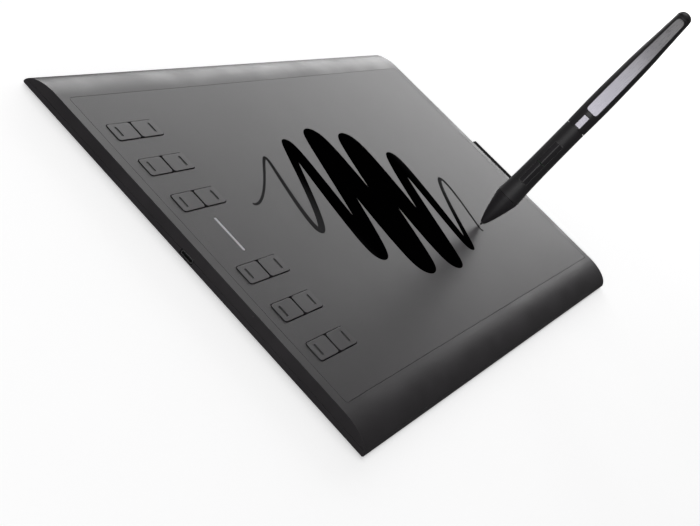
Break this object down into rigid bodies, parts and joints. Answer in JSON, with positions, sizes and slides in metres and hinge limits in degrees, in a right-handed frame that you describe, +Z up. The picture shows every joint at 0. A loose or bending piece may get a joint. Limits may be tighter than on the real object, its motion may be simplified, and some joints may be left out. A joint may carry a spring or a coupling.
{
  "type": "pen drawing tablet",
  "caption": "Flat pen drawing tablet with a column of press keys, a pen loop at the side, and its ridged side-button pen standing on the work sheet.",
  "frame": {"origin": "on the desk plane, under the middle of the whole object's box; the case's own centre is 7.5 mm to the left of it, because the pen loop stands out on the right", "axes": "+X to the user's right along the case's long side, +Y to the rear edge, +Z up out of the drawing surface"},
  "size_m": [0.375, 0.24, 0.1821],
  "materials": {
    "case_plastic": "fine satin graphite grain",
    "sheet_film": "fine matt paper-like texture",
    "key_plastic": "satin",
    "light_guide": "milky translucent",
    "elastic": "tight woven elastic webbing",
    "board": "green solder mask",
    "steel": "plain rolled sheet",
    "screw_steel": "black zinc",
    "chip": "moulded epoxy",
    "led": "clear",
    "film_cable": "polyimide film",
    "rubber": "matt",
    "grip_rubber": "soft matt",
    "pen_plastic": "satin",
    "pen_facet": "polished",
    "nib_plastic": "satin",
    "ferrite": "sintered",
    "cell": "sleeved cell"
  },
  "bodies": {
    "tablet": {"top_shell": "case_plastic", "bottom_shell": "case_plastic", "work_sheet": "sheet_film", "light_guide": "light_guide", "pen_loop": "elastic", "sensor_board": "board", "shield_plate": "steel", "key_board": "board", "controller_chip": "chip", "status_led": "led", "usb_port": "steel", "ribbon_cable": "film_cable", "foot_front_left": "rubber", "foot_front_right": "rubber", "foot_rear_left": "rubber", "foot_rear_right": "rubber", "case_screw_1": "screw_steel", "case_screw_2": "screw_steel", "case_screw_3": "screw_steel", "case_screw_4": "screw_steel", "case_screw_5": "screw_steel", "case_screw_6": "screw_steel", "key_switch_01": "chip", "key_switch_02": "chip", "key_switch_03": "chip", "key_switch_04": "chip", "key_switch_05": "chip", "key_switch_06": "chip", "key_switch_07": "chip", "key_switch_08": "chip", "key_switch_09": "chip", "key_switch_10": "chip", "key_switch_11": "chip", "key_switch_12": "chip"},
    "pen": {"pen_barrel": "pen_plastic", "pen_grip": "grip_rubber", "pen_nose_cone": "pen_plastic", "pen_facet": "pen_facet", "pen_window": "light_guide", "pen_tail_cap": "pen_plastic", "pen_coil": "ferrite", "pen_pressure_sensor": "chip", "pen_circuit_board": "board", "pen_battery": "cell"},
    "pen_nib": {"pen_nib": "nib_plastic"},
    "pen_button_front": {"pen_button_front": "pen_plastic"},
    "pen_button_rear": {"pen_button_rear": "pen_plastic"},
    "key_01": {"express_key_01": "key_plastic"},
    "key_02": {"express_key_02": "key_plastic"},
    "key_03": {"express_key_03": "key_plastic"},
    "key_04": {"express_key_04": "key_plastic"},
    "key_05": {"express_key_05": "key_plastic"},
    "key_06": {"express_key_06": "key_plastic"},
    "key_07": {"express_key_07": "key_plastic"},
    "key_08": {"express_key_08": "key_plastic"},
    "key_09": {"express_key_09": "key_plastic"},
    "key_10": {"express_key_10": "key_plastic"},
    "key_11": {"express_key_11": "key_plastic"},
    "key_12": {"express_key_12": "key_plastic"}
  },
  "joints": [
    {"name": "pen_lift", "type": "slide", "parent": "tablet", "child": "pen", "axis": [0, 0, 1], "range_m": [0, 0.06]},
    {"name": "nib_press", "type": "slide", "parent": "pen", "child": "pen_nib", "axis": [0.2857, 0, 0.9583], "range_m": [0, 0.0006], "stiffness_N_per_m": 3, "springref_m": -0.0005},
    {"name": "pen_button_front_press", "type": "slide", "parent": "pen", "child": "pen_button_front", "axis": [0.9423, 0.1822, -0.2809], "range_m": [0, 0.0004], "stiffness_N_per_m": 25, "springref_m": -0.0004},
    {"name": "pen_button_rear_press", "type": "slide", "parent": "pen", "child": "pen_button_rear", "axis": [0.9423, 0.1822, -0.2809], "range_m": [0, 0.0004], "stiffness_N_per_m": 25, "springref_m": -0.0004},
    {"name": "key_01_press", "type": "slide", "parent": "tablet", "child": "key_01", "axis": [0, 0, -1], "range_m": [0, 0.0005], "stiffness_N_per_m": 30, "springref_m": -0.0005},
    {"name": "key_02_press", "type": "slide", "parent": "tablet", "child": "key_02", "axis": [0, 0, -1], "range_m": [0, 0.0005], "stiffness_N_per_m": 30, "springref_m": -0.0005},
    {"name": "key_03_press", "type": "slide", "parent": "tablet", "child": "key_03", "axis": [0, 0, -1], "range_m": [0, 0.0005], "stiffness_N_per_m": 30, "springref_m": -0.0005},
    {"name": "key_04_press", "type": "slide", "parent": "tablet", "child": "key_04", "axis": [0, 0, -1], "range_m": [0, 0.0005], "stiffness_N_per_m": 30, "springref_m": -0.0005},
    {"name": "key_05_press", "type": "slide", "parent": "tablet", "child": "key_05", "axis": [0, 0, -1], "range_m": [0, 0.0005], "stiffness_N_per_m": 30, "springref_m": -0.0005},
    {"name": "key_06_press", "type": "slide", "parent": "tablet", "child": "key_06", "axis": [0, 0, -1], "range_m": [0, 0.0005], "stiffness_N_per_m": 30, "springref_m": -0.0005},
    {"name": "key_07_press", "type": "slide", "parent": "tablet", "child": "key_07", "axis": [0, 0, -1], "range_m": [0, 0.0005], "stiffness_N_per_m": 30, "springref_m": -0.0005},
    {"name": "key_08_press", "type": "slide", "parent": "tablet", "child": "key_08", "axis": [0, 0, -1], "range_m": [0, 0.0005], "stiffness_N_per_m": 30, "springref_m": -0.0005},
    {"name": "key_09_press", "type": "slide", "parent": "tablet", "child": "key_09", "axis": [0, 0, -1], "range_m": [0, 0.0005], "stiffness_N_per_m": 30, "springref_m": -0.0005},
    {"name": "key_10_press", "type": "slide", "parent": "tablet", "child": "key_10", "axis": [0, 0, -1], "range_m": [0, 0.0005], "stiffness_N_per_m": 30, "springref_m": -0.0005},
    {"name": "key_11_press", "type": "slide", "parent": "tablet", "child": "key_11", "axis": [0, 0, -1], "range_m": [0, 0.0005], "stiffness_N_per_m": 30, "springref_m": -0.0005},
    {"name": "key_12_press", "type": "slide", "parent": "tablet", "child": "key_12", "axis": [0, 0, -1], "range_m": [0, 0.0005], "stiffness_N_per_m": 30, "springref_m": -0.0005}
  ]
}
